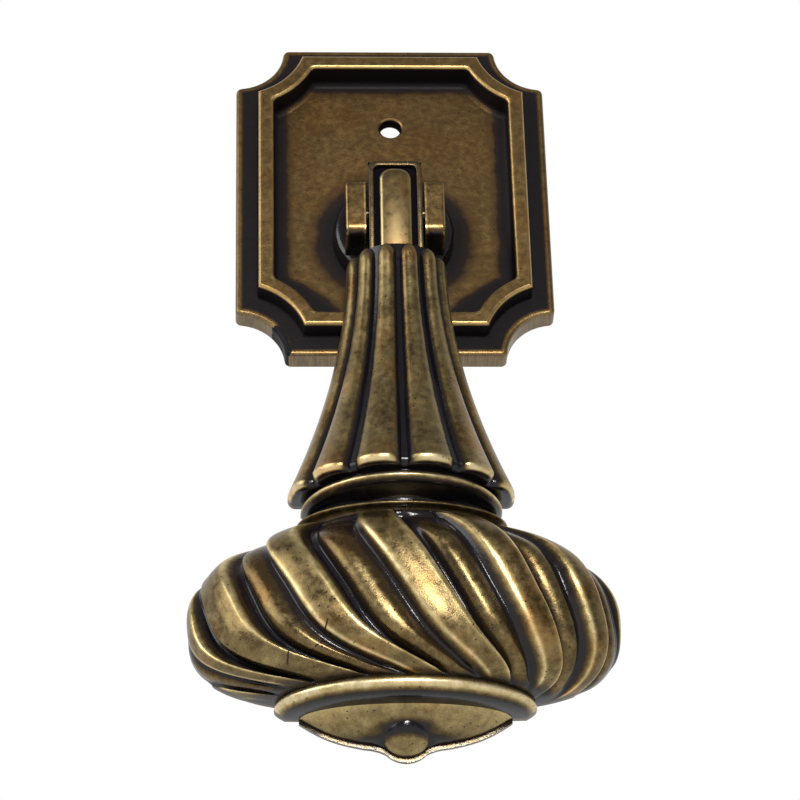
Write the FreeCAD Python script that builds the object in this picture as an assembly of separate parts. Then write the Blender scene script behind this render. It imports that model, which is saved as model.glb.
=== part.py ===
import FreeCAD, Part
import math
import os

# Drop pull for a drawer or small door: a scooped backplate, a hinge post with two ears,
# a pin and a swinging half-round drop with a reeded bell and a swirled knob.
# Millimetres. X right, Z up, the front faces -Y. The origin is the screw axis on the back face.

# backplate
plate_width = 35.0
plate_height = 41.8
scoop_radius = 5.4
tip_round = 0.7
flange_width = 2.5
flange_thickness = 2.4
flange_round = 0.45
rim_width = 1.75
rim_crest = 4.7
rim_round = 0.4
field_thickness = 1.5
field_cove = 0.7
well_tip_spare = 0.1
post_below_centre = 5.15
nail_above_post = 15.6
nail_hole_diameter = 2.4
nail_edge_break = 0.25

# hinge post and pin
boss_diameter = 13.4
boss_round = 0.9
shank_diameter = 8.0
screw_hole_diameter = 3.3
screw_hole_floor = 0.7
ear_thickness = 2.2
ear_half_height = 3.6
ear_nose = 2.1
ear_corner = 1.0
ear_round = 0.35
pin_diameter = 1.8
pin_clearance = 0.05

# tongue of the drop, between the ears
tongue_width = 5.86
tongue_side_clearance = 0.32
tongue_rise = 5.1
tongue_front = 3.0
tongue_corner = 0.8
knuckle_radius = 2.05
swing_clearance = 0.35
stop_angle = 47.0
frame_lip = 0.45
frame_depth = 0.6
panel_width = 3.54
panel_height = 0.9
panel_round = 0.3
panel_arch = 1.4
panel_top_gap = 0.75

# drop: lengths run down from the pin along its flat back
back_in_front_of_pin = 0.17
rim_clearance = 0.5
wall_gap = 0.35
reed_start = 6.9
flare_length = 27.9
bell_top_radius = 5.45
bell_mouth_radius = 11.95
flare_pull = 1.1
reed_count = 12
reed_depth = 1.1
reed_groove = 1.2
reed_end_round = 1.5
mouth_round = 0.9
bead_radius = 0.6
bead_reach = 10.6
bead_gap = 0.3
cove_rise = 0.35
cove_reach = 6.0
neck_length = 2.4
neck_half_width = 10.4
collar_half_width = 11.1
collar_thickness = 0.8
knob_shoulder = 1.1
shoulder_share = 0.95
flatness = 0.55
knob_half_width = 22.45
knob_height_above = 10.6
knob_height_below = 9.6
knob_fullness_above = 2.2
knob_fullness_below = 3.0
knob_end_share = 0.945
lobe_height = 2.0
lobe_fade = 2.2
ring_half_width = 13.45
ring_flatness = 0.66
ring_thickness = 2.0
ring_reach = 1.1
ring_drop = 1.3
lens_half_width = 10.9
lens_length = 2.7
lens_groove = 0.8
lens_step = 0.5
lens_lip = 0.2
lens_bow = 0.9
nub_radius = 2.75
nub_fullness = 1.1
nub_length = 1.6
nub_ledge = 1.45
nub_cove = 0.6
nub_cove_sag = 0.12

# section across half a groove: share of its width and height of the control points
groove_section = ((0.0, 0.0), (0.5, 0.12), (0.9, 0.68))
reed_crown = 1.2

# section across one lobe: share of the pitch and height of the control points
lobe_section = (
    (0.04, -0.05), (0.15, -0.05), (0.28, 0.5), (0.43, -0.1),
    (0.55, 0.95), (0.68, 1.0), (0.84, 0.92), (0.95, 1.15),
)

# swirl in degrees: uneven spacing, a turn for each mm down, a spread at the upper end
# and a growing sweep to the lower end
lobe_count = 12
swirl_start = 3.0
swirl_spread = 9.5
swirl_spread_at = 120.0
swirl_slope = 1.6
swirl_open = 33.0
swirl_sweep = 26.0
swirl_sweep_power = 4.6
knob_rows = 16

# stations worked out from the lengths
bell_length = flare_length + mouth_round
bell_end = reed_start + bell_length
knob_top = bell_end + neck_length + knob_shoulder
knob_middle = knob_top + knob_height_above * knob_end_share
knob_end = knob_middle + knob_height_below * knob_end_share
ring_end = knob_end + ring_drop
lens_end = ring_end + lens_length
drop_length = lens_end + nub_length

# the hinge stands off just far enough for the flat back to clear the rim
plate_centre_z = post_below_centre
rim_below_pin = plate_height / 2 - flange_width - plate_centre_z
rim_share = rim_below_pin / drop_length
pivot_out = (rim_crest + rim_clearance - wall_gap * rim_share) / (1 - rim_share) - back_in_front_of_pin
boss_face = pivot_out - knuckle_radius - swing_clearance
hang_reach = math.hypot(drop_length, back_in_front_of_pin)
hang_angle = math.degrees(
    math.asin((pivot_out - wall_gap) / hang_reach) + math.atan2(back_in_front_of_pin, drop_length)
)
ear_inside = tongue_width / 2 + tongue_side_clearance
ear_outside = ear_inside + ear_thickness
ear_front = pivot_out + ear_nose


def vec(x, y, z):
    return FreeCAD.Vector(x, y, z)


def at(radius, s):
    return vec(radius, 0, -s)


def line(start, end):
    return Part.LineSegment(start, end).toShape()


def arc(start, middle, end):
    return Part.Arc(start, middle, end).toShape()


def smooth(value, start, end):
    share = min(max((value - start) / (end - start), 0.0), 1.0)
    return share * share * (3 - 2 * share)


def disc(radius, y_back, y_front, z=0.0):
    return Part.makeCylinder(radius, y_back - y_front, vec(0, y_front, z), vec(0, 1, 0))


def rod(radius, half_length, y):
    return Part.makeCylinder(radius, 2 * half_length, vec(-half_length, y, 0), vec(1, 0, 0))


def edges_at(shape, y):
    return [e for e in shape.Edges if abs(e.BoundBox.YMin - y) < 1e-4 and abs(e.BoundBox.YMax - y) < 1e-4]


def scooped_wire(inset, y):
    # rectangle whose corners are scooped out by arcs centred on the plate's own corners
    half_x = plate_width / 2
    half_z = plate_height / 2
    radius = scoop_radius + inset
    reach = math.sqrt(radius * radius - inset * inset)
    bow = radius / math.hypot(1, 1)
    edges = []
    last = None
    first = None
    for side_x, side_z in ((1, 1), (-1, 1), (-1, -1), (1, -1)):
        on_side = vec(side_x * (half_x - inset), y, plate_centre_z + side_z * (half_z - reach))
        on_top = vec(side_x * (half_x - reach), y, plate_centre_z + side_z * (half_z - inset))
        middle = vec(side_x * (half_x - bow), y, plate_centre_z + side_z * (half_z - bow))
        start, end = (on_side, on_top) if side_x * side_z > 0 else (on_top, on_side)
        if last is None:
            first = start
        else:
            edges.append(Part.LineSegment(last, start).toShape())
        edges.append(Part.Arc(start, middle, end).toShape())
        last = end
    edges.append(Part.LineSegment(last, first).toShape())
    return Part.Wire(edges)


def scooped_block(inset, y_back, y_front):
    return Part.Face(scooped_wire(inset, y_back)).extrude(vec(0, y_front - y_back, 0))


def tips_of(block):
    # the edges that run from the back of a block to its front
    return [e for e in block.Edges if e.BoundBox.YLength > block.BoundBox.YLength * 0.9]


def make_backplate():
    flange = scooped_block(0, 0, -flange_thickness)
    flange = flange.makeFillet(tip_round, tips_of(flange))
    flange = flange.makeFillet(flange_round, edges_at(flange, -flange_thickness))
    rim_inside = flange_width + rim_width
    rim = scooped_block(flange_width, -field_thickness, -rim_crest)
    well = scooped_block(rim_inside, -field_thickness, -rim_crest)
    well = well.makeFillet(field_cove + well_tip_spare, tips_of(well))
    well = well.makeFillet(field_cove, edges_at(well, -field_thickness))
    plate = flange.fuse(rim).cut(well).removeSplitter()
    plate = plate.makeFillet(rim_round, edges_at(plate, -rim_crest))
    nail_radius = nail_hole_diameter / 2
    nail = disc(nail_radius, 0, -field_thickness, nail_above_post)
    flare = Part.makeCone(
        nail_radius, nail_radius + nail_edge_break, nail_edge_break,
        vec(0, nail_edge_break - field_thickness, nail_above_post), vec(0, -1, 0),
    )
    return plate.cut(nail.fuse(flare)).cut(disc(shank_diameter / 2, 0, -field_thickness))


def make_hinge_post():
    boss = disc(boss_diameter / 2, -field_thickness, -boss_face)
    boss = boss.makeFillet(boss_round, edges_at(boss, -boss_face))
    shank = disc(shank_diameter / 2, 0, -field_thickness)
    post = boss.fuse(shank)
    foot = boss_face - boss_round
    for side in (-1, 1):
        left = min(side * ear_inside, side * ear_outside)
        ear = Part.makeBox(
            ear_thickness, ear_front - foot, 2 * ear_half_height, vec(left, -ear_front, -ear_half_height)
        )
        nose = edges_at(ear, -ear_front)
        across = [e for e in nose if e.BoundBox.XLength > ear_thickness * 0.9]
        ear = ear.makeFillet(ear_corner, across)
        outer = [
            e for e in ear.Edges
            if e.BoundBox.XLength < 1e-4 and abs(e.BoundBox.XMin - side * ear_outside) < 1e-4
            and e.BoundBox.YMin < -foot - 1e-3
        ]
        ear = ear.makeFillet(ear_round, outer)
        post = post.fuse(ear)
    screw_hole = disc(screw_hole_diameter / 2, 0, screw_hole_floor - boss_face)
    return post.cut(make_hinge_pin()).cut(screw_hole).removeSplitter()


def make_hinge_pin():
    return rod(pin_diameter / 2, ear_outside, -pivot_out)


def slab(points, half_width):
    # side profile, forward and up from the pin, drawn out across the tongue
    wire = Part.makePolygon([vec(-half_width, -forward, up) for forward, up in points + points[:1]])
    return Part.Face(wire).extrude(vec(2 * half_width, 0, 0))


def make_tongue():
    half = tongue_width / 2
    stop = math.radians(stop_angle)
    top_back = (tongue_rise * math.sin(stop) - knuckle_radius) / math.cos(stop)
    tangent = (-knuckle_radius * math.cos(stop), knuckle_radius * math.sin(stop))
    foot = -reed_start - reed_end_round
    body = slab(
        [(tongue_front, foot), (tongue_front, tongue_rise), (top_back, tongue_rise), tangent,
         (0, 0), (back_in_front_of_pin, foot)], half,
    )
    body = body.fuse(rod(knuckle_radius, half, 0)).removeSplitter()
    corners = [
        e for e in body.Edges
        if abs(e.BoundBox.ZMin - tongue_rise) < 1e-4 and e.BoundBox.XLength < 1e-4
    ]
    body = body.makeFillet(tongue_corner, corners)
    inside = half - frame_lip
    arch_top = tongue_rise - frame_lip
    hollow = Part.makeBox(2 * inside, frame_depth, arch_top - foot, vec(-inside, -tongue_front, foot))
    shoulders = [e for e in hollow.Edges if e.BoundBox.YLength > frame_depth * 0.9 and e.BoundBox.ZMin > 0]
    body = body.cut(hollow.makeFillet(tongue_corner, shoulders))
    panel_top = arch_top - panel_top_gap
    panel_back = tongue_front - frame_depth
    panel = Part.makeBox(
        panel_width, panel_height, panel_top - foot, vec(-panel_width / 2, -panel_back - panel_height, foot)
    )
    shoulders = [e for e in panel.Edges if e.BoundBox.YLength > panel_height * 0.9 and e.BoundBox.ZMin > 0]
    panel = panel.makeFillet(panel_arch, shoulders)
    face_edges = [e for e in edges_at(panel, -panel_back - panel_height) if e.BoundBox.ZMax > foot + 1e-3]
    panel = panel.makeFillet(panel_round, face_edges)
    return body.fuse(panel)


def spline_front(rows, closed):
    # cubic surface shaped by rows of control points, each row closed into a ring or left open
    row_repeats = [4] + [1] * (len(rows) - 4) + [4]
    column_repeats = [1] * (len(rows[0]) + 1) if closed else [4] + [1] * (len(rows[0]) - 4) + [4]
    surface = Part.BSplineSurface()
    surface.buildFromPolesMultsKnots(
        rows, row_repeats, column_repeats, list(range(len(row_repeats))), list(range(len(column_repeats))),
        False, closed, 3, 3,
    )
    return surface


def solid_from(faces):
    shell = Part.makeShell(faces)
    shell.sewShape()
    return Part.Solid(shell)


def flat_backed(rows):
    # every row starts and ends on the back plane
    front = spline_front(rows, False)
    u_first, u_last, v_first, v_last = front.bounds()
    top = front.uIso(u_first).toShape()
    low = front.uIso(u_last).toShape()
    sides = [front.vIso(v_first).toShape(), front.vIso(v_last).toShape()]
    top_line = line(rows[0][0], rows[0][-1])
    low_line = line(rows[-1][0], rows[-1][-1])
    loops = ([top, top_line], [low, low_line], [top_line, sides[1], low_line, sides[0]])
    return solid_from([front.toShape()] + [Part.Face(Part.Wire(loop)) for loop in loops])


def ringed(rows):
    # rows closed into rings, the ends capped, then the half behind the back plane taken off
    front = spline_front(rows, True)
    u_first, u_last = front.bounds()[:2]
    caps = [Part.Face(Part.Wire([front.uIso(u).toShape()])) for u in (u_first, u_last)]
    solid = solid_from([front.toShape()] + caps)
    size = 4 * knob_half_width
    return solid.cut(Part.makeBox(size, size, size, vec(-size / 2, 0, -size)))


def bell_radius(s):
    u = min(max((s - reed_start) / flare_length, 0.0), 1.0)
    flare = flare_pull * u * u - (flare_pull - 1) * u ** 3
    return bell_top_radius + (bell_mouth_radius - bell_top_radius) * flare


def reed_row(s, radius, raised):
    # half circle of convex reeds parted by narrow grooves, raised from 0 at their tips to 1
    pitch = 2 * math.pi / reed_count
    groove = reed_groove / (radius * pitch)
    left = [(groove * share, height) for share, height in groove_section]
    right = [(1 - share, height) for share, height in left[:0:-1]]
    row = []
    for reed in range(reed_count // 2):
        for share, height in left + [(0.5, reed_crown)] + right:
            angle = pitch * (reed + share) - math.pi / 2
            if abs(angle) > (math.pi - pitch) / 2:
                height = 1.0
            r = radius - reed_depth * (1 - raised * height)
            row.append(vec(r * math.sin(angle), -r * math.cos(angle), -s))
    r = radius - reed_depth * (1 - raised)
    row.append(vec(r, 0, -s))
    row[0] = vec(-r, 0, -s)
    return row


def make_bell():
    rows = []
    for step in range(5):
        turn = math.pi / 2 * step / 4
        s = reed_start + reed_end_round * (1 - math.cos(turn))
        rows.append(reed_row(s, bell_radius(s), math.sin(turn)))
    flare_start = reed_start + reed_end_round
    flare_end = reed_start + flare_length
    for step in range(1, 9):
        s = flare_start + (flare_end - flare_start) * step / 8
        rows.append(reed_row(s, bell_radius(s), 1.0))
    for step in range(1, 5):
        turn = math.pi / 2 * step / 4
        s = flare_end + mouth_round * math.sin(turn)
        rows.append(reed_row(s, bell_mouth_radius - mouth_round * (1 - math.cos(turn)), 1.0))
    return flat_backed(rows)


def knob_row(share):
    # flattened ring of raised straps, each with a steep right edge and a hollow beside it
    half_height = knob_height_above if share < 0 else knob_height_below
    fullness = knob_fullness_above if share < 0 else knob_fullness_below
    below = half_height * share
    shape = (1 - abs(share) ** fullness) ** (1 / fullness)
    fade = smooth(half_height * (knob_end_share - abs(share)), 0, lobe_fade)
    up = min(share, 0) / knob_end_share
    down = max(share, 0) / knob_end_share
    twist = swirl_start + swirl_slope * below + swirl_sweep * down ** swirl_sweep_power
    row = []
    for lobe in range(lobe_count):
        for step, height in lobe_section:
            even = 360 * (lobe + step) / lobe_count
            spread = swirl_spread * math.sin(math.radians(even + swirl_spread_at))
            angle = math.radians(even + spread + twist)
            angle += math.radians(swirl_open) * up * up * math.sin(angle)
            hollow = lobe_height * fade * (1 - height)
            x = (knob_half_width * shape - hollow) * math.sin(angle)
            y = (knob_half_width * flatness * shape - hollow) * math.cos(angle)
            row.append(vec(x, -y, -knob_middle - below))
    return row


def make_knob():
    rows = []
    for step in range(knob_rows + 1):
        rows.append(knob_row(knob_end_share * math.sin(math.pi * (step / knob_rows - 0.5))))
    return ringed(rows)


def turned(edges, squash):
    # half a turning, its depth squashed
    face = Part.Face(Part.Wire(edges))
    solid = face.revolve(vec(0, 0, 0), vec(0, 0, 1), -180)
    matrix = FreeCAD.Matrix()
    matrix.scale(1, squash, 1)
    return solid.transformGeometry(matrix)


def make_neck():
    inside = bead_reach - bead_radius
    root = bell_end - mouth_round
    bead_top = bell_end + bead_gap
    bead_low = bead_top + 2 * bead_radius
    floor = bell_end + neck_length
    cove_middle = at((inside + cove_reach) / 2, bead_low + cove_rise)
    return turned([
        line(at(0, root), at(inside, root)),
        line(at(inside, root), at(inside, bead_top)),
        arc(at(inside, bead_top), at(bead_reach, bead_top + bead_radius), at(inside, bead_low)),
        arc(at(inside, bead_low), cove_middle, at(cove_reach, floor)),
        line(at(cove_reach, floor), at(0, floor)),
        line(at(0, floor), at(0, root)),
    ], 1.0)


def make_collar():
    top = bell_end + neck_length / 2
    low = bell_end + neck_length
    bead_top = low - collar_thickness
    root = knob_top + knob_shoulder / 2
    core = neck_half_width * shoulder_share
    crest = at(collar_half_width, (bead_top + low) / 2)
    return turned([
        line(at(0, top), at(neck_half_width, top)),
        line(at(neck_half_width, top), at(neck_half_width, bead_top)),
        arc(at(neck_half_width, bead_top), crest, at(neck_half_width, low)),
        line(at(neck_half_width, low), at(core, root)),
        line(at(core, root), at(0, root)),
        line(at(0, root), at(0, top)),
    ], flatness)


def make_finial():
    ring_top = ring_end - ring_thickness
    ring_root = ring_half_width - ring_reach
    root = ring_top - knob_shoulder / 2
    crest = at(ring_half_width, (ring_top + ring_end) / 2)
    ring = turned([
        line(at(0, root), at(lens_half_width, root)),
        line(at(lens_half_width, root), at(lens_half_width, ring_top)),
        line(at(lens_half_width, ring_top), at(ring_root, ring_top)),
        arc(at(ring_root, ring_top), crest, at(ring_root, ring_end)),
        line(at(ring_root, ring_end), at(0, ring_end)),
        line(at(0, ring_end), at(0, root)),
    ], ring_flatness)
    groove = lens_half_width - lens_groove
    lens_top = ring_end + lens_step
    edge = lens_top + lens_lip
    ledge = nub_radius + nub_ledge
    bow = at((lens_half_width + ledge + lens_bow) / 2, (edge + lens_end + lens_bow) / 2)
    nub_middle = drop_length - nub_radius
    cove_end = lens_end + nub_cove
    cove_foot = math.sqrt(nub_radius ** 2 - (cove_end - nub_middle) ** 2)
    cove_bow = at((ledge + cove_foot) / 2, (lens_end + cove_end) / 2 - nub_cove_sag)
    lens = turned([
        line(at(0, ring_top), at(groove, ring_top)),
        line(at(groove, ring_top), at(groove, lens_top)),
        line(at(groove, lens_top), at(lens_half_width, edge)),
        arc(at(lens_half_width, edge), bow, at(ledge, lens_end)),
        arc(at(ledge, lens_end), cove_bow, at(cove_foot, cove_end)),
        line(at(cove_foot, cove_end), at(0, cove_end)),
        line(at(0, cove_end), at(0, ring_top)),
    ], flatness)
    slant = math.sqrt(0.5)
    dome = at(nub_radius * slant, nub_middle + nub_radius * slant)
    nub = turned([
        line(at(0, ring_end), at(nub_radius, ring_end)),
        line(at(nub_radius, ring_end), at(nub_radius, nub_middle)),
        arc(at(nub_radius, nub_middle), dome, at(0, drop_length)),
        line(at(0, drop_length), at(0, ring_end)),
    ], nub_fullness)
    return [ring, lens, nub]


def make_drop():
    casting = make_bell()
    for piece in [make_neck(), make_collar(), make_knob()] + make_finial():
        casting = casting.fuse(piece)
    casting.translate(vec(0, -back_in_front_of_pin, 0))
    drop = casting.fuse(make_tongue())
    drop = drop.cut(rod(pin_diameter / 2 + pin_clearance, tongue_width / 2, 0))
    drop.rotate(vec(0, 0, 0), vec(1, 0, 0), hang_angle)
    drop.translate(vec(0, -pivot_out, 0))
    return drop.removeSplitter()


os.makedirs("parts", exist_ok=True)
nodes = {
    "backplate": make_backplate(),
    "hinge_post": make_hinge_post(),
    "hinge_pin": make_hinge_pin(),
    "drop": make_drop(),
}
for name, shape in nodes.items():
    shape.exportStep(f"parts/{name}.step")
    print(name, len(shape.Solids), round(shape.Volume, 2), shape.isValid())
print("pivot", round(pivot_out, 3), "hang", round(hang_angle, 3), "length", round(drop_length, 3))
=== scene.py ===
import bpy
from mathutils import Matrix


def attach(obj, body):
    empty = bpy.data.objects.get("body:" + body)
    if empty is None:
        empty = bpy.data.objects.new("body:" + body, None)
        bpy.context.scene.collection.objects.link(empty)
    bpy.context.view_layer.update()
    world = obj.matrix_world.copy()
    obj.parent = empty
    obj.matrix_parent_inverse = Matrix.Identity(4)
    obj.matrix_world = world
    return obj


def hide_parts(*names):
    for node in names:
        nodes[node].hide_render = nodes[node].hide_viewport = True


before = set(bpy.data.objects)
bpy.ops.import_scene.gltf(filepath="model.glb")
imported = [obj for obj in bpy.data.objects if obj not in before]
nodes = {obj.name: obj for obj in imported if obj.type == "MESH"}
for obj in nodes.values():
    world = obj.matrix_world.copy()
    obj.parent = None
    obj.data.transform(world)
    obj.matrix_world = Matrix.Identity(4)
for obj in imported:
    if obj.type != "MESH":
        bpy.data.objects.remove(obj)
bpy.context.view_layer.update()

import math
import bpy
import bmesh
import numpy as np
from mathutils import Matrix, Vector

scene = bpy.context.scene
scene.view_settings.view_transform = "Standard"
mm = 0.001


# camera: low in front of the pull, looking up at it
view = {
    "target": (0.35, 0.0, -20.03),
    "under": 32.28,
    "side": -2.84,
    "roll": -1.54,
    "distance": 364.0,
    "lens": 151.0,
}


def placeCamera():
    under = math.radians(view["under"])
    side = math.radians(view["side"])
    roll = math.radians(view["roll"])
    back = Vector((math.sin(side) * math.cos(under), -math.cos(side) * math.cos(under), -math.sin(under)))
    right = (-back).cross(Vector((0, 0, 1))).normalized()
    up = right.cross(-back)
    right, up = math.cos(roll) * right + math.sin(roll) * up, math.cos(roll) * up - math.sin(roll) * right
    data = bpy.data.cameras.new("pullCamera")
    data.lens = view["lens"]
    data.sensor_width = 36.0
    data.clip_start = 0.01
    data.clip_end = 10.0
    camera = bpy.data.objects.new("pullCamera", data)
    spot = Matrix((right, up, back)).transposed().to_4x4()
    spot.translation = (Vector(view["target"]) + back * view["distance"]) * mm
    camera.matrix_world = spot
    scene.collection.objects.link(camera)
    scene.camera = camera
    print("camera placed")


placeCamera()


# how the casting hangs: lengths run down from the pin along its flat back, in mm
hang = {
    "pivot": -6.299, "tilt": 5.495, "back": 0.17, "squeeze": 0.95,
    "land": 0.6, "landTone": 0.3, "landFiled": 0.6,
    "backStep": 0.015,  # no two backs lie in one plane
}

casting = {"points": [], "faces": [], "polish": [], "land": []}


def smooth(x, start, end):
    t = np.clip((x - start) / (end - start), 0.0, 1.0)
    return t * t * (3 - 2 * t)


def addPiece(points, faces, polish, land=None):
    first = sum(len(p) for p in casting["points"])
    points = np.asarray(points, float).reshape(-1, 3)
    casting["points"].append(points)
    casting["faces"] += [[first + i for i in face] for face in faces]
    casting["polish"].append(np.asarray(polish, float).reshape(-1))
    casting["land"].append(np.zeros(len(points)) if land is None else np.asarray(land, float).reshape(-1))


def addShell(x, depth, down, polish, hem=0.0):
    # a rounded front row by row, a filed land round its back edge, and a flat back
    front = -(hang["land"] + hang["squeeze"] * depth)
    edge = np.full((len(x), 1), -hang["land"])
    flat = np.full((len(x), 1), -hang["backStep"] * len(casting["points"]))
    left, right = x[:, :1], x[:, -1:]
    x = np.concatenate([left, left, x, right, right], 1)
    y = np.concatenate([flat, edge, front, edge, flat], 1)
    s = np.concatenate([down[:, :1] + hem] * 2 + [down] + [down[:, -1:] + hem] * 2, 1)
    endTone = np.full((len(x), 1), hang["landTone"])
    tone = np.where(depth < 0.02, hang["landTone"], polish * smooth(depth, 0.05, 0.7))
    tone = np.concatenate([endTone, endTone, tone, endTone, endTone], 1)
    filed = np.zeros_like(x)
    filed[:, :2] = filed[:, -2:] = hang["landFiled"]
    rows, cols = x.shape
    faces = []
    for r in range(rows - 1):
        for c in range(cols - 1):
            a = r * cols + c
            faces.append((a, a + cols, a + cols + 1, a + 1))
        a = r * cols
        faces.append((a, a + cols - 1, a + 2 * cols - 1, a + cols))
    faces.append(tuple(range(cols)))
    faces.append(tuple(range(rows * cols - 1, (rows - 1) * cols - 1, -1)))
    addPiece(np.stack([x, y, -s], -1), faces, tone, filed)


def addTurning(profile, columns, dent=None, hem=0.0):
    # half a turning: radius, distance down, flatness and polish along its outline
    r, s, flat, p = [v[:, None] for v in np.array(profile, float).T]
    turn = np.linspace(-math.pi / 2, math.pi / 2, columns)[None, :]
    x, depth = r * np.sin(turn), flat * r * np.cos(turn)
    s, p = s + 0 * x, p + 0 * x
    if dent:
        sunk = np.exp(-(x / dent["wide"]) ** 2 - ((depth - dent["at"]) / dent["deep"]) ** 2)
        s = s - dent["size"] * sunk
        # the dip is dark: patina in the hollow, with painted shadow
        p = p * (1 - smooth(sunk, 0.3, 0.95))
    addShell(x, depth, s, p, hem)


def bulge(start, end, out, flat, tones, steps):
    # a swelling between two places, or a hollow where out is negative
    t = np.linspace(0, 1, steps)
    lift = out * np.sin(math.pi * t)
    (r0, s0), (r1, s1) = start, end
    size = math.hypot(s1 - s0, r1 - r0)
    r = r0 + (r1 - r0) * t + (s1 - s0) / size * lift
    s = s0 + (s1 - s0) * t - (r1 - r0) / size * lift
    tone = np.interp(t, np.linspace(0, 1, len(tones)), tones)
    return [(a, b, flat, c) for a, b, c in zip(r, s, tone)]


bell = {
    "start": 6.35, "flare": 28.45, "top": 5.45, "mouth": 11.95, "pull": 1.1, "lip": 0.9, "under": (10.6, 9.7),
    "reeds": 6, "depth": 0.95, "depthGain": 0.35, "floor": 0.42, "floorTop": 0.55,
    "arch": 1.1, "endRound": 1.4,
    "reedTone": 0.5, "crownTone": 0.07, "lipTone": 0.34,
    "columns": 217, "rows": 56, "topRows": 26, "topLength": 3.4, "lipRows": 10,
}


def makeBell():
    b = bell
    flareEnd = b["start"] + b["flare"]
    s = np.concatenate([
        b["start"] + np.linspace(0, 1, b["topRows"]) ** 1.5 * b["topLength"],
        np.linspace(b["start"] + b["topLength"] + 0.2, flareEnd - 1.6, b["rows"]),
        np.linspace(flareEnd - 1.5, flareEnd, b["lipRows"]),
    ])
    u = (s - b["start"]) / b["flare"]
    radius = b["top"] + (b["mouth"] - b["top"]) * (b["pull"] * u * u - (b["pull"] - 1) * u ** 3)
    turn = np.linspace(0.1, math.pi / 2, b["lipRows"])
    lipEnd = flareEnd + b["lip"]
    s = np.concatenate([s, flareEnd + b["lip"] * np.sin(turn), [lipEnd] * len(b["under"])])[:, None]
    radius = np.concatenate([radius, b["mouth"] - b["lip"] * (1 - np.cos(turn)), b["under"]])[:, None]
    u = np.clip((s - b["start"]) / b["flare"], 0, 1)
    angle = np.linspace(-math.pi / 2, math.pi / 2, b["columns"])
    share = (angle / math.pi + 0.5) * b["reeds"]
    reed = np.clip(np.floor(share), 0, b["reeds"] - 1)
    t = share - reed
    # the outer reeds have no groove beside the flat back
    t = np.where((reed == 0) & (t < 0.5), 0.5, t)
    t = np.where((reed == b["reeds"] - 1) & (t > 0.5), 0.5, t)
    half = radius * math.pi / b["reeds"] / 2
    edge = half * 2 * np.minimum(t, 1 - t)[None, :]
    floor = b["floor"] * (b["floorTop"] + (1 - b["floorTop"]) * u)
    side = np.clip((half - edge) / (half - floor), 0, 1)
    full = b["depth"] + b["depthGain"] * u
    drop = full * (1 - (1 - side ** 2.4) ** 0.62)
    rise = np.clip((s - b["start"] - b["arch"] * side ** 2.2) / b["endRound"], 0, 1)
    rise = np.sqrt(1 - (1 - rise) ** 2)
    r = radius - full + rise * (full - drop)
    lip = smooth(s, flareEnd - 0.3, flareEnd + 0.2)
    polish = b["reedTone"] + b["crownTone"] * (1 - side)
    polish = polish * (1 - smooth(side, 0.72, 0.97)) * smooth(rise, 0.25, 0.9)
    polish = polish + b["lipTone"] * lip * (1 - smooth(side, 0.6, 0.95))
    polish = polish * (1 - smooth(s, flareEnd + 0.6, flareEnd + 0.85))
    addShell(r * np.sin(angle), r * np.cos(angle), s + 0 * r, polish)
    print("bell", r.shape)


makeBell()
bellEnd = bell["start"] + bell["flare"] + bell["lip"]

neck = {
    "inside": 10.0, "bead": 0.6, "gap": 0.3, "cove": 7.0, "coveTall": 0.6,
    "half": 10.4, "collar": 0.7, "band": 0.7, "bandTop": 2.25, "collarFlat": 0.66,
    "beadTones": (0.05, 0.75, 0.95, 0.35, 0.0), "collarTones": (0.5, 0.8, 0.5, 0.46, 0.42),
    "columns": 121,
}


def makeNeck():
    n = neck
    beadTop = bellEnd + n["gap"]
    beadLow = beadTop + 2 * n["bead"]
    inside = n["inside"]
    bandTop = bellEnd + n["bandTop"]
    bandLow = bandTop + n["band"]
    outline = [(inside - 0.3, bellEnd - 0.4, 1.0, 0.0), (inside - 0.3, beadTop - 0.1, 1.0, 0.0)]
    outline += bulge((inside, beadTop), (inside, beadLow), n["bead"], 1.0, n["beadTones"], 18)
    # a black hollow runs back under the bead and turns down to the collar
    for a in np.linspace(0, math.pi / 2, 16):
        r = inside - 0.1 - (inside - 0.1 - n["cove"]) * math.sin(a)
        outline.append((r, beadLow + 0.02 + n["coveTall"] * (1 - math.cos(a)), 1.0, 0.0))
    outline.append((n["cove"], bandLow, 1.0, 0.0))
    addTurning(outline, n["columns"])
    flat = n["collarFlat"]
    outline = [(n["half"] - 0.6, bandTop - 0.6, flat, 0.0), (n["half"] - 0.6, bandTop - 0.1, flat, 0.0)]
    outline += bulge((n["half"], bandTop), (n["half"], bandLow), n["collar"], flat, n["collarTones"], 14)
    outline += [(n["half"] - 0.4, bandLow + 0.3, flat, 0.3), (n["half"] * 0.95, bandLow + 1.2, flat, 0.1)]
    addTurning(outline, n["columns"])
    print("neck and collar")


makeNeck()

knob = {
    "middle": 49.217, "above": 10.6, "below": 9.6, "end": 0.945, "half": 22.45, "flatness": 0.55,
    "fullAbove": 2.2, "fullBelow": 3.0, "fullFront": 3.3,
    "height": 2.0, "fade": 1.5, "sideFill": 0.85,
    "slope": 1.6, "open": 33.0, "sweep": 26.0, "sweepPower": 4.6,
    # where the straps' steep edges cross the middle, in degrees round the front
    "edges": (-160.0, -133.0, -105.0, -76.0, -50.0, -18.2, 12.0, 38.5, 66.0, 95.0, 124.0, 153.0),
    "ridge": {"across": 0.48, "low": 0.25, "start": (1.2, 4.6)},
    "broad": {"lobe": 3, "across": 0.72, "tone": 0.5},  # the strap at the left with no dip beside it
    "rows": 131, "cutSteps": 3,
}
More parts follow.
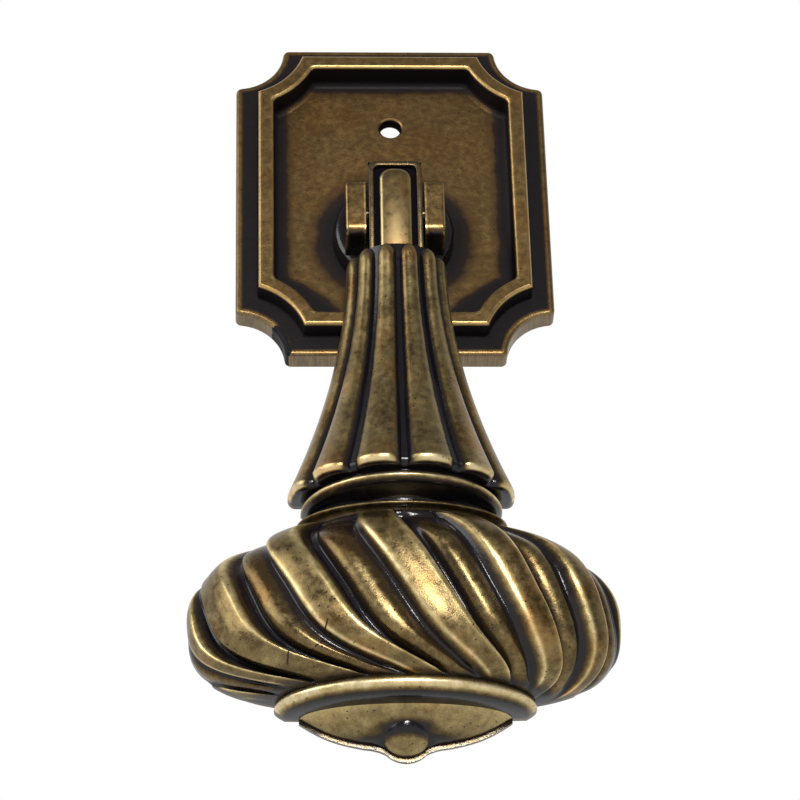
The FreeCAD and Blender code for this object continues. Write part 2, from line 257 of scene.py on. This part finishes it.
# across one lobe: share of the pitch, height, polish
lobeCut = [
    (0.0, 0.05, 0.0), (0.04, 0.0, 0.0), (0.08, 0.1, 0.08), (0.13, 0.36, 0.34), (0.21, 0.56, 0.47),
    (0.31, 0.58, 0.45), (0.39, 0.44, 0.32), (0.46, 0.28, 0.1), (0.5, 0.26, 0.04), (0.54, 0.48, 0.16),
    (0.58, 0.77, 0.62), (0.61, 0.87, 0.88), (0.65, 0.93, 0.58), (0.72, 0.98, 0.5), (0.8, 1.0, 0.5),
    (0.87, 1.0, 0.58), (0.92, 0.97, 0.84), (0.95, 0.85, 0.84), (0.975, 0.5, 0.25), (1.0, 0.05, 0.0),
]


def eased(x, xs, ys):
    # a smooth curve through the points, level at each peak and dip
    xs, ys = np.array(xs), np.array(ys)
    slope = np.gradient(ys, xs)
    turnsBack = np.diff(ys)[:-1] * np.diff(ys)[1:] <= 0
    slope[1:-1][turnsBack] = 0
    slope[0] = slope[-1] = 0
    i = np.clip(np.searchsorted(xs, x) - 1, 0, len(xs) - 2)
    w = xs[i + 1] - xs[i]
    t = (x - xs[i]) / w
    rise = (2 * t ** 3 - 3 * t ** 2 + 1) * ys[i] + (t ** 3 - 2 * t ** 2 + t) * w * slope[i]
    return rise + (-2 * t ** 3 + 3 * t ** 2) * ys[i + 1] + (t ** 3 - t ** 2) * w * slope[i + 1]


def strapAngles(share, below, lobe):
    # the angle of each place across the lobes at one height
    k = knob
    up = min(share, 0) / k["end"]
    down = max(share, 0) / k["end"]
    plain = np.interp(lobe, np.arange(len(k["edges"])), k["edges"])
    plain = plain + k["slope"] * below + k["sweep"] * down ** k["sweepPower"]
    return plain + k["open"] * up * up * np.sin(np.radians(plain))


def makeKnob():
    k = knob
    ridge, broad = k["ridge"], k["broad"]
    at, height, tone = zip(*lobeCut)
    spans = zip(at[:-1], at[1:])
    steps = np.concatenate([np.linspace(a, b, k["cutSteps"], endpoint=False) for a, b in spans])
    lobe = np.concatenate([steps + i for i in range(len(k["edges"]) - 1)])
    rows = {"x": [], "depth": [], "down": [], "polish": []}
    for share in k["end"] * np.sin(np.linspace(-math.pi / 2, math.pi / 2, k["rows"])):
        tall, full = (k["above"], k["fullAbove"]) if share < 0 else (k["below"], k["fullBelow"])
        below = tall * share
        shape = (1 - abs(share) ** full) ** (1 / full)
        deep = max(full, k["fullFront"])
        depth = k["half"] * k["flatness"] * (1 - abs(share) ** deep) ** (1 / deep)
        toEnd = tall * (k["end"] - abs(share))
        angle = strapAngles(share, below, lobe)
        # columns past the flat back all meet on its edge
        inside = np.interp(np.clip(angle, -90, 90), angle, lobe)
        turn = np.radians(np.clip(angle, -90, 90))
        phase = inside - np.floor(inside)
        lift, shade = eased(phase, at, height), eased(phase, at, tone)
        if share < 0:  # the low ridges start below the collar
            begun = ridge["low"] + (1 - ridge["low"]) * smooth(toEnd, *ridge["start"])
            begun = np.where(phase < ridge["across"], begun, 1.0)
            lift, shade = lift * begun, shade * begun
        onBroad = (np.floor(inside) == broad["lobe"]) & (phase < broad["across"])
        swell = 0.84 * smooth(phase, 0.06, 0.34) + 0.14 * smooth(phase, 0.34, broad["across"])
        lift = np.where(onBroad, swell, lift)
        shade = np.where(onBroad, broad["tone"] * smooth(phase, 0.1, 0.32), shade)
        hollow = k["height"] * smooth(toEnd, 0, k["fade"]) * (1 - lift)
        hollow = hollow * (1 - k["sideFill"] * smooth(abs(turn), 1.15, 1.57))  # shallow beside the flat back
        rows["x"].append((k["half"] * shape - hollow) * np.sin(turn))
        rows["depth"].append(np.maximum((depth - hollow) * np.cos(turn), 0))
        rows["down"].append(np.full(len(lobe), k["middle"] + below))
        # darker towards both ends of the knob, next to the collar and the ring
        endTone = smooth(toEnd, 0.0, 0.6) if share < 0 else smooth(toEnd, 0.15, 1.0)
        rows["polish"].append(np.clip(shade, 0, 1) * endTone)
    made = {key: np.array(value) for key, value in rows.items()}
    addShell(made["x"], made["depth"], made["down"], made["polish"])
    print("knob", made["x"].shape)


makeKnob()
knobEnd = knob["middle"] + knob["below"] * knob["end"]

finial = {
    "ringHalf": 13.45, "ringFlat": 0.66, "ringThick": 2.0, "ringReach": 1.1, "ringDrop": 1.3,
    "lensHalf": 10.9, "lensFlat": 0.45, "lensLength": 2.7, "lensGroove": 0.8, "lensStep": -0.2,
    "nub": 2.85, "nubFull": 1.22, "nubLength": 1.5, "nubLedge": 1.45, "nubCove": 0.6,
    "hem": 0.45,  # how far the flange stands out below
    "dent": {"at": 2.7, "wide": 3.7, "deep": 1.3, "size": 0.5},
    "ringTones": (0.1, 0.6, 0.95, 0.85, 0.1), "nubTone": 0.58,
    "lensTones": (0.75, 0.62, 0.6, 0.57, 0.45, 0.1),
    "columns": 121, "nubColumns": 61,
}


def makeFinial():
    f = finial
    # ring
    ringEnd = knobEnd + f["ringDrop"]
    ringTop = ringEnd - f["ringThick"]
    ringRoot = f["ringHalf"] - f["ringReach"]
    flat = f["ringFlat"]
    outline = [(f["lensHalf"], ringTop - 0.5, flat, 0.0), (f["lensHalf"], ringTop, flat, 0.0)]
    outline += bulge((ringRoot, ringTop), (ringRoot, ringEnd), f["ringReach"], flat, f["ringTones"], 22)
    outline += [(f["lensHalf"] * share, ringEnd + 0.05, flat, 0.0) for share in (0.93, 0.75, 0.55)]
    addTurning(outline, f["columns"])
    # lens, with a dip round the nub; it darkens towards the nub: patina in the dip, with painted shadow round
    # the nub
    flat = f["lensFlat"]
    lensEnd = ringEnd + f["lensLength"]
    end = lensEnd + f["nubLength"]
    ledge = f["nub"] + f["nubLedge"]
    groove = f["lensHalf"] - f["lensGroove"]
    edge = ringEnd + f["lensStep"]
    coveEnd = lensEnd + f["nubCove"]
    coveFoot = math.sqrt(f["nub"] ** 2 - (coveEnd - end + f["nub"]) ** 2)
    outline = [(groove + 0.4, ringTop, flat, 0.0)]
    outline += bulge((groove + 0.4, edge - 0.6), (groove, edge - 0.12), 0.05, flat, (0.0, 0.0), 7)
    outline += [(f["lensHalf"] - 0.15, edge, flat, 0.45)]
    rounded = (f["lensHalf"], edge + 0.2), (ledge + 0.4, lensEnd - 0.08)
    outline += bulge(*rounded, 0.4, flat, f["lensTones"], 30)
    outline += bulge((ledge, lensEnd), (coveFoot, coveEnd), -0.12, flat, (0.04, 0.0, 0.0), 8)
    outline += [(coveFoot * 0.6, coveEnd, flat, 0.0)]
    addTurning(outline, f["columns"], f["dent"], f["hem"])
    # nub: its upper part dark, patina with painted shade under the lens; gold lower down
    flat = f["nubFull"]
    outline = [(f["nub"], ringEnd, flat, 0.0)]
    for a in np.linspace(0, math.pi / 2 - 0.003, 22):
        down = end - f["nub"] * (1 - math.sin(a))
        outline.append((f["nub"] * math.cos(a), down, flat, f["nubTone"] * smooth(a, 0.32, 0.66)))
    addTurning(outline, f["nubColumns"], hem=f["hem"])
    print("finial")


makeFinial()
tongueFrom = len(casting["points"])

tongue = {
    "width": 5.86, "rise": 5.25, "front": 3.0, "corner": 0.8, "knuckle": 2.05, "stop": 47.0, "foot": -8.4,
    "lip": 0.57, "sunk": 0.6, "panel": 3.54, "stand": 0.9, "topGap": 0.43, "arch": 1.4,
    "lowBevel": 0.1, "frameBevel": 0.12, "panelBevel": 0.5,
    "paintedShade": -0.1,  # below nought is painted shade: black, with no shine
    "frameTone": (0.04, 0.3), "faceTone": 0.43, "edgeTone": 0.42,
    "even": 0.25, "evenFrom": (-9.0, -7.0),  # worn more evenly than the rest, above these heights
}


def addBlock(outline, back, front, axis, polish, bevel):
    # an outline drawn out along x or y, its edges broken
    bm = bmesh.new()
    ring = [bm.verts.new((back, -a, b) if axis == "x" else (a, -back, b)) for a, b in outline]
    made = bmesh.ops.extrude_face_region(bm, geom=[bm.faces.new(ring)])
    shift = Vector((front - back, 0, 0)) if axis == "x" else Vector((0, back - front, 0))
    moved = [v for v in made["geom"] if isinstance(v, bmesh.types.BMVert)]
    bmesh.ops.translate(bm, verts=moved, vec=shift)
    bmesh.ops.recalc_face_normals(bm, faces=bm.faces)
    edges = [e for e in bm.edges if e.calc_face_angle(0) > 0.6]
    bmesh.ops.bevel(
        bm, geom=edges, offset=bevel, segments=3, profile=0.5, affect="EDGES", clamp_overlap=True)
    bm.verts.index_update()
    points = np.array([v.co[:] for v in bm.verts])
    faces = [[v.index for v in f.verts] for f in bm.faces]
    bm.free()
    addPiece(points, faces, polish(points))


def arched(half, top, foot, corner, steps=8):
    # outline of an upright with rounded upper corners
    turn = np.linspace(0, math.pi / 2, steps + 1)
    points = [(-half, foot)]
    points += [(-half + corner * (1 - math.cos(a)), top - corner * (1 - math.sin(a))) for a in turn]
    points += [(half - corner * (1 - math.cos(a)), top - corner * (1 - math.sin(a))) for a in turn[::-1]]
    return points + [(half, foot)]


def makeTongue():
    t = tongue
    half = t["width"] / 2
    stop = math.radians(t["stop"])
    floor = t["front"] - t["sunk"]
    inside = half - t["lip"]
    archTop = t["rise"] - t["lip"]
    topBack = (t["rise"] * math.sin(stop) - t["knuckle"]) / math.cos(stop)
    low = [(floor, t["foot"]), (floor, t["rise"]), (topBack, t["rise"])]
    low += [(-t["knuckle"] * math.cos(a), t["knuckle"] * math.sin(a)) for a in np.linspace(stop, -1.45, 12)]
    low += [(hang["back"], -t["knuckle"] - 0.05), (hang["back"], t["foot"])]
    stand = floor + t["stand"]
    bed = floor - 0.1

    # the channel floor and the knuckle behind it: black patina, its shine taken away as painted shade
    def paintedShadeTone(points):
        return np.full(len(points), t["paintedShade"])

    def frameTone(points):
        low, gain = t["frameTone"]
        return low + gain * smooth(-points[:, 1], t["front"] - 0.25, t["front"])

    def panelTone(points):  # the face is browner than its edges, which are rubbed bright and carry a painted highlight
        sunk = stand + points[:, 1]
        return (t["faceTone"] + t["edgeTone"] * smooth(sunk, 0.01, 0.1)) * (1 - smooth(sunk, 0.3, 0.5))

    addBlock(low, -half, half, "x", paintedShadeTone, t["lowBevel"])
    rail = arched(half, t["rise"], t["foot"], t["corner"])
    rail += arched(inside, archTop, t["foot"], t["corner"] * 0.8)[::-1]
    addBlock(rail, bed, t["front"], "y", frameTone, t["frameBevel"])
    panel = arched(t["panel"] / 2, archTop - t["topGap"], t["foot"], t["arch"])
    addBlock(panel, bed, stand, "y", panelTone, t["panelBevel"])
    print("tongue")


makeTongue()


def joinCasting():
    points = list(casting["points"])
    for i in range(tongueFrom):  # the flat back stands a little in front of the pin
        points[i] = points[i] + np.array([0, -hang["back"], 0])
    p = np.concatenate(points)
    c, s = math.cos(math.radians(hang["tilt"])), math.sin(math.radians(hang["tilt"]))
    y = p[:, 1] * c - p[:, 2] * s + hang["pivot"]
    z = p[:, 1] * s + p[:, 2] * c
    placed = np.stack([p[:, 0], y, z], 1) * mm
    mesh = bpy.data.meshes.new("dropCasting")
    mesh.from_pydata(placed.tolist(), [], casting["faces"])
    for name in ("polish", "land"):
        layer = mesh.attributes.new(name, "FLOAT", "POINT")
        layer.data.foreach_set("value", np.concatenate(casting[name]).astype(np.float32))
    bm = bmesh.new()
    bm.from_mesh(mesh)
    bmesh.ops.remove_doubles(bm, verts=bm.verts, dist=2e-8)
    bmesh.ops.dissolve_degenerate(bm, edges=bm.edges, dist=1e-8)
    bmesh.ops.recalc_face_normals(bm, faces=bm.faces)
    bm.to_mesh(mesh)
    bm.free()
    mesh.shade_smooth()
    mesh.set_sharp_from_angle(angle=math.radians(42))
    thing = bpy.data.objects.new("dropCasting", mesh)
    scene.collection.objects.link(thing)
    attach(thing, "pendant")
    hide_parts("drop")
    print("casting", len(mesh.polygons), "faces")
    return thing


dropCasting = joinCasting()


class NodeBench:
    # one material, with short names for the nodes that it is built from
    def __init__(self, name):
        self.material = bpy.data.materials.new(name)
        self.material.use_nodes = True
        self.tree = self.material.node_tree
        self.shader = self.tree.nodes["Principled BSDF"]

    def put(self, socket, value):
        if isinstance(value, bpy.types.NodeSocket):
            self.tree.links.new(value, socket)
        else:
            socket.default_value = value

    def add(self, kind, inputs=None, **settings):
        made = self.tree.nodes.new("ShaderNode" + kind)
        for key, value in settings.items():
            setattr(made, key, value)
        for key, value in (inputs or {}).items():
            self.put(made.inputs[key], value)
        return made

    def calc(self, operation, *values):
        made = self.add("Math", operation=operation)
        for socket, value in zip(made.inputs, values):
            self.put(socket, value)
        return made.outputs[0]

    def fade(self, value, start, end, low=0.0, high=1.0):
        inputs = {"Value": value, "From Min": start, "From Max": end, "To Min": low, "To Max": high}
        return self.add("MapRange", inputs, interpolation_type="SMOOTHSTEP", clamp=True).outputs["Result"]

    def most(self, *values):
        top = values[0]
        for value in values[1:]:
            top = self.calc("MAXIMUM", top, value)
        return top

    def least(self, *values):
        low = values[0]
        for value in values[1:]:
            low = self.calc("MINIMUM", low, value)
        return low

    def times(self, *values):
        made = values[0]
        for value in values[1:]:
            made = self.calc("MULTIPLY", made, value)
        return made

    def reach(self, a, b):
        # straight length of two distances at right angles
        return self.calc("SQRT", self.calc("ADD", self.times(a, a), self.times(b, b)))

    def noise(self, place, scale, detail=2.0, rough=0.5):
        inputs = {"Vector": place, "Scale": scale, "Detail": detail, "Roughness": rough}
        return self.add("TexNoise", inputs).outputs["Fac"]

    def streak(self, place, start, end, width):
        # one along a short line between two places, nothing away from it
        along = Vector(end) - Vector(start)
        gone = self.add("VectorMath", {0: place, 1: start}, operation="SUBTRACT").outputs[0]
        ends = {0: gone, 1: along / along.length_squared}
        share = self.add("VectorMath", ends, operation="DOT_PRODUCT").outputs["Value"]
        share = self.least(self.most(share, 0.0), 1.0)
        near = self.add("VectorMath", {0: along, "Scale": share}, operation="SCALE").outputs[0]
        apart = self.add("VectorMath", {0: gone, 1: near}, operation="DISTANCE").outputs["Value"]
        return self.fade(apart, width, width * 0.4)

    def placeInMm(self):
        where = self.add("TexCoord").outputs["Object"]
        made = self.add("VectorMath", {0: where}, operation="SCALE")
        made.inputs["Scale"].default_value = 1000.0
        return made.outputs[0]


# worn brass: dark lacquer in the recesses, rubbed through to gold on the crests
brass = {
    "tones": [
        (0.0, (0.006, 0.0052, 0.0075)), (0.18, (0.016, 0.011, 0.008)), (0.42, (0.105, 0.072, 0.031)),
        (0.62, (0.25, 0.187, 0.082)), (0.8, (0.46, 0.355, 0.16)), (1.0, (0.74, 0.62, 0.38)),
    ],
    "copper": (1.12, 0.82, 0.62), "patchScale": 0.19,
    "filed": (0.2, 0.175, 0.13), "strokes": 0.7, "strokeScale": (7.0, 0.3, 7.0),
    "metal": (0.0, 0.95), "shine": 0.28, "dull": 0.17, "rough": 0.36, "roughSpread": 0.22,
    "blotch": 0.46, "blotchScale": 0.28, "grain": 0.32, "grainScale": 1.3, "fine": 0.2, "fineScale": 6.5,
    "pit": 0.45, "pitSize": 0.17, "pitScale": 1.5,
    "bump": 0.2, "bumpDepth": 0.00012,
}


def finishBrass(bench, place, polish, filed=None, shine=brass["shine"], mottle=1.0, dull=brass["dull"],
                warmth=0.0, calm=None):
    b = brass
    bare = bench.fade(polish, 0.04, 0.34)
    blotch = bench.calc("SUBTRACT", bench.noise(place, b["blotchScale"], 3.0, 0.6), 0.5)
    grain = bench.calc("SUBTRACT", bench.noise(place, b["grainScale"], 2.0, 0.55), 0.5)
    fine = bench.calc("SUBTRACT", bench.noise(place, b["fineScale"], 1.0), 0.5)
    uneven = bench.calc("MULTIPLY_ADD", blotch, b["blotch"], bench.times(grain, b["grain"]))
    uneven = bench.calc("MULTIPLY_ADD", fine, b["fine"], uneven)
    # small casting pits, thinly spread
    cells = bench.add("TexVoronoi", {"Vector": place, "Scale": b["pitScale"]}).outputs
    draw = bench.add("SeparateColor", {"Color": cells["Color"]}).outputs[0]
    spot = bench.fade(cells["Distance"], b["pitSize"], b["pitSize"] * 0.5)
    pit = bench.times(spot, bench.fade(draw, 0.55, 0.6), bare)
    if calm is not None:
        uneven, pit = bench.times(uneven, calm), bench.times(pit, calm)
    tone = bench.calc("MULTIPLY_ADD", uneven, bench.fade(polish, 0.02, 0.4, 0.25 * mottle, mottle), polish)
    tone = bench.calc("SUBTRACT", tone, bench.times(pit, b["pit"] * mottle))
    if filed is not None:  # short file strokes across the land
        flat = bench.add("VectorMath", {0: place, 1: b["strokeScale"]}, operation="MULTIPLY").outputs[0]
        stroke = bench.calc("SUBTRACT", bench.noise(flat, 1.0, 2.0), 0.5)
        tone = bench.calc("MULTIPLY_ADD", stroke, bench.times(filed, b["strokes"]), tone)
    ramp = bench.add("ValToRGB", {"Fac": tone})
    stops = ramp.color_ramp.elements
    while len(stops) < len(b["tones"]):
        stops.new(0.5)
    for stop, (at, color) in zip(stops, b["tones"]):
        stop.position = at
        stop.color = (*color, 1)
    # coppery patches here and there
    patch = bench.fade(bench.noise(place, b["patchScale"]), 0.5, 0.68, warmth, warmth + 0.6 * mottle)
    warm = bench.add("Mix", data_type="RGBA", blend_type="MULTIPLY")
    for socket, value in ((0, patch), (6, ramp.outputs["Color"]), (7, (*b["copper"], 1))):
        bench.put(warm.inputs[socket], value)
    if filed is not None:  # filed metal is greyer
        grey = bench.add("Mix", data_type="RGBA")
        for socket, value in ((0, bench.times(filed, 0.6)), (6, warm.outputs[2]), (7, (*b["filed"], 1))):
            bench.put(grey.inputs[socket], value)
        warm = grey
    shader = bench.shader.inputs
    bench.put(shader["Specular IOR Level"], shine)
    bench.put(shader["Base Color"], warm.outputs[2])
    bench.put(shader["Metallic"], bench.fade(tone, 0.06, 0.45, *b["metal"]))
    rough = bench.fade(tone, 0.1, 0.6, dull, b["rough"])
    bench.put(shader["Roughness"], bench.calc("MULTIPLY_ADD", grain, b["roughSpread"], rough))
    height = bench.calc("MULTIPLY_ADD", fine, 0.5, grain)
    strength = b["bump"] if calm is None else bench.times(calm, b["bump"])
    bump = bench.add("Bump", {"Height": height, "Strength": strength, "Distance": b["bumpDepth"]})
    bench.put(shader["Normal"], bump.outputs["Normal"])
    return bench.material


# two hair cracks on the knob's left side, as seen from the front
cracks = {
    "width": 0.11, "dark": 0.8,
    "lines": [
        ((-8.1, 0.0, -53.9), (-8.6, 0.0, -55.4)),
        ((-8.6, 0.0, -55.4), (-9.3, 0.0, -55.9)),
        ((-12.0, 0.0, -56.2), (-12.1, 0.0, -57.0)),
    ],
}


def castBrass():
    bench = NodeBench("castBrass")
    place = bench.placeInMm()
    polish = bench.add("Attribute", attribute_name="polish").outputs["Fac"]
    filed = bench.add("Attribute", attribute_name="land").outputs["Fac"]
    seen = bench.add("VectorMath", {0: place, 1: (1, 0, 1)}, operation="MULTIPLY").outputs[0]
    crack = bench.most(*[bench.streak(seen, a, b, cracks["width"]) for a, b in cracks["lines"]])
    polish = bench.times(polish, bench.calc("SUBTRACT", 1.0, bench.times(crack, cracks["dark"])))
    # no shine below nought: the tongue's channel floor is painted shade
    shine = bench.fade(polish, tongue["paintedShade"] + 0.02, tongue["paintedShade"] + 0.08, 0.0, brass["shine"])
    up = bench.add("SeparateXYZ", {0: place}).outputs[2]
    calm = bench.fade(up, *tongue["evenFrom"], 1.0, tongue["even"])
    return finishBrass(bench, place, polish, filed, shine, calm=calm)


plate = {
    "halfWidth": 17.5, "halfHeight": 20.9, "centre": 5.15, "scoop": 5.4, "flange": 2.5, "rim": 1.75,
    "crest": 4.7, "field": 1.5, "nail": 15.6, "nailRadius": 1.2,
    "lightHalf": (12.4, 16.1), "lightCorner": 25.6,
    "rimTone": 0.46, "rimEdge": 0.3, "flangeTone": 0.5, "fieldTone": 0.44, "nailTone": 0.6, "backTone": 0.36,
    "chip": ((-13.0, 0.0, -12.9), (-12.35, 0.0, -15.0)), "chipWide": 1.3,
    "sawn": 0.7, "shine": 0.1, "mottle": 0.5, "dull": 0.5, "warmth": 0.42,
}


def plateBrass():
    p = plate
    bench = NodeBench("plateBrass")
    place = bench.placeInMm()
    x, y, z = bench.add("SeparateXYZ", {0: place}).outputs
    wide = bench.calc("ABSOLUTE", x)
    tall = bench.calc("ABSOLUTE", bench.calc("SUBTRACT", z, p["centre"]))
    forward = bench.calc("MULTIPLY", y, -1.0)
    fromSide = bench.calc("SUBTRACT", p["halfWidth"], wide)
    fromEnd = bench.calc("SUBTRACT", p["halfHeight"], tall)
    inset = bench.least(fromSide, fromEnd, bench.calc("SUBTRACT", bench.reach(fromSide, fromEnd), p["scoop"]))
    rimEnd = p["flange"] + p["rim"]
    crest = bench.fade(forward, p["crest"] - 0.5, p["crest"] - 0.12)
    outerEdge = bench.fade(inset, p["flange"] + 0.5, p["flange"] + 0.1)
    innerEdge = bench.fade(inset, rimEnd - 0.5, rimEnd - 0.1)
    rimTone = bench.calc("MULTIPLY_ADD", bench.most(outerEdge, innerEdge), p["rimEdge"], p["rimTone"])
    rim = bench.times(crest, rimTone)
    flangeEdge = bench.fade(inset, 0.95, 0.4, 0.02, p["flangeTone"])
    # the lighter middle of the field, its corners cut, and dark round the boss: patina there, with the shadow
    # of the post and drop painted in
    ragged = bench.calc("SUBTRACT", bench.noise(place, 0.5, 3.0), 0.5)
    corner = bench.fade(z, 0.0, -8.0, p["lightCorner"], p["lightCorner"] - 4.0)
    cut = bench.times(bench.calc("SUBTRACT", bench.calc("SUBTRACT", corner, wide), tall), 0.7)
    inWidth = bench.calc("SUBTRACT", p["lightHalf"][0], wide)
    inHeight = bench.calc("SUBTRACT", p["lightHalf"][1], tall)
    light = bench.calc("MULTIPLY_ADD", ragged, 0.9, bench.least(inWidth, inHeight, cut))
    bossShadeAndPatina = bench.fade(bench.calc("MULTIPLY_ADD", ragged, 1.2, bench.reach(x, z)), 6.8, 10.4)
    fromNail = bench.reach(x, bench.calc("SUBTRACT", z, p["nail"]))
    hole = p["nailRadius"]
    onField = bench.times(
        bench.fade(forward, p["field"] + 0.5, p["field"] + 0.15),
        bench.fade(forward, p["field"] - 0.5, p["field"] - 0.2),
        bench.fade(fromNail, hole, hole + 0.12))
    field = bench.times(onField, bench.fade(light, -0.3, 1.7), bossShadeAndPatina, p["fieldTone"])
    nailEdge = bench.times(
        bench.fade(fromNail, hole + 0.42, hole + 0.22),
        bench.fade(fromNail, hole + 0.02, hole + 0.14),
        bench.fade(forward, p["field"] - 0.4, p["field"] - 0.15), p["nailTone"])
    backFace = bench.fade(forward, 0.25, 0.05, 0.0, p["backTone"])
    polish = bench.most(rim, flangeEdge, field, nailEdge, backFace)
    # a dark chip on the lower left scoop
    seen = bench.add("VectorMath", {0: place, 1: (1, 0, 1)}, operation="MULTIPLY").outputs[0]
    chip = bench.streak(seen, *p["chip"], p["chipWide"])
    chip = bench.calc("MULTIPLY_ADD", bench.noise(place, 1.6), 0.9, chip)
    whole = bench.fade(chip, 1.05, 0.8)
    filed = bench.times(bench.fade(inset, 0.25, 0.05), whole, p["sawn"])
    # no shine inside the nail hole: its wall is left black, patina-dark and painted shade
    shine = bench.fade(fromNail, hole + 0.05, hole + 0.2, 0.0, p["shine"])
    return finishBrass(
        bench, place, bench.times(polish, whole), filed, shine, p["mottle"], p["dull"], p["warmth"])


post = {
    "earInside": 3.25, "earOutside": 5.45, "earHalf": 3.6, "earFront": 8.4, "bossFace": 3.9,
    "edgeTone": 0.75, "faceTone": 0.5, "shine": 0.4, "mottle": 0.7, "dull": 0.2, "warmth": 0.45,
}


def postBrass():
    p = post
    bench = NodeBench("postBrass")
    place = bench.placeInMm()
    x, y, z = bench.add("SeparateXYZ", {0: place}).outputs
    wide = bench.calc("ABSOLUTE", x)
    forward = bench.calc("MULTIPLY", y, -1.0)
    fromInside = bench.calc("SUBTRACT", wide, p["earInside"])
    across = bench.least(fromInside, bench.calc("SUBTRACT", p["earOutside"], wide))
    along = bench.calc("SUBTRACT", p["earHalf"], bench.calc("ABSOLUTE", z))
    out = bench.calc("SUBTRACT", p["earFront"], forward)
    # two of the three distances are small only along an edge of an ear
    second = bench.most(bench.least(across, along), bench.least(bench.most(across, along), out))
    # the boss and the roots of the ears stay black: patina, with the shadow of the ears and drop painted in
    onEar = bench.fade(forward, p["bossFace"] + 0.6, p["bossFace"] + 1.4)
    edge = bench.times(bench.fade(second, 0.5, 0.08), p["edgeTone"])
    face = bench.fade(out, 0.5, 0.03, 0.03, p["faceTone"])
    polish = bench.times(bench.most(edge, face), onEar)
    return finishBrass(bench, place, polish, None, p["shine"], p["mottle"], p["dull"], p["warmth"])


pin = {"patches": 0.8, "tones": (0.2, 0.4)}


def pinBrass():
    bench = NodeBench("pinBrass")
    place = bench.placeInMm()
    return finishBrass(bench, place, bench.fade(bench.noise(place, pin["patches"]), 0.3, 0.7, *pin["tones"]))


def dressPieces():
    finishes = {"backplate": plateBrass(), "hinge_post": postBrass(), "hinge_pin": pinBrass()}
    for name, finish in finishes.items():
        nodes[name].data.materials.clear()
        nodes[name].data.materials.append(finish)
    dropCasting.data.materials.append(castBrass())
    print("finishes set")


dressPieces()

# studio: white all round for the camera, paler behind the pull than in front of it
studio = {
    "front": 0.27, "behind": 1.0,
    "key": {"at": (0.02, -0.62, 0.03), "size": 0.14, "watts": 3.2},
    "fill": {"at": (-0.52, -0.3, 0.14), "size": 0.5, "watts": 2.4},
    "aim": (0, 0, -0.02),
    "floor": -0.6, "floorHalf": 3, "paper": 0.85,
}


def addLamp(name, at, size, watts):
    lamp = bpy.data.lights.new(name, "AREA")
    lamp.shape = "DISK"
    lamp.energy = watts
    lamp.size = size
    thing = bpy.data.objects.new(name, lamp)
    thing.location = at
    thing.rotation_mode = "QUATERNION"
    thing.rotation_quaternion = (Vector(studio["aim"]) - thing.location).to_track_quat("-Z", "Y")
    scene.collection.objects.link(thing)


def lightStudio():
    world = bpy.data.worlds.new("studio")
    scene.world = world
    world.use_nodes = True
    tree = world.node_tree
    shine = tree.nodes["Background"]
    where = tree.nodes.new("ShaderNodeTexCoord")
    split = tree.nodes.new("ShaderNodeSeparateXYZ")
    level = tree.nodes.new("ShaderNodeMapRange")
    seen = tree.nodes.new("ShaderNodeLightPath")
    pick = tree.nodes.new("ShaderNodeMix")
    tree.links.new(where.outputs["Generated"], split.inputs[0])
    tree.links.new(split.outputs["Y"], level.inputs["Value"])
    level.interpolation_type = "SMOOTHSTEP"
    ends = {"From Min": -0.35, "From Max": 0.35, "To Min": studio["front"], "To Max": studio["behind"]}
    for key, value in ends.items():
        level.inputs[key].default_value = value
    tree.links.new(seen.outputs["Is Camera Ray"], pick.inputs[0])
    tree.links.new(level.outputs["Result"], pick.inputs[2])
    pick.inputs[3].default_value = 1.0
    tree.links.new(pick.outputs[0], shine.inputs["Strength"])
    shine.inputs["Color"].default_value = (1, 1, 1, 1)
    addLamp("keyLamp", **studio["key"])
    addLamp("fillLamp", **studio["fill"])
    mesh = bpy.data.meshes.new("paleFloor")
    z, half, paper = studio["floor"], studio["floorHalf"], studio["paper"]
    corners = [(-half, -half, z), (half, -half, z), (half, half, z), (-half, half, z)]
    mesh.from_pydata(corners, [], [(0, 1, 2, 3)])
    floor = bpy.data.objects.new("paleFloor", mesh)
    scene.collection.objects.link(floor)
    bench = NodeBench("palePaper")
    bench.shader.inputs["Base Color"].default_value = (paper, paper, paper, 1)
    bench.shader.inputs["Roughness"].default_value = 0.9
    path = bench.add("LightPath").outputs
    seenHere = bench.most(path["Is Camera Ray"], path["Is Glossy Ray"], path["Is Transmission Ray"])
    glow = bench.add("Emission").outputs[0]
    mixed = bench.add("MixShader", {0: seenHere, 1: bench.shader.outputs[0], 2: glow})
    bench.tree.links.new(mixed.outputs[0], bench.tree.nodes["Material Output"].inputs["Surface"])
    mesh.materials.append(bench.material)
    print("studio lit")


lightStudio()
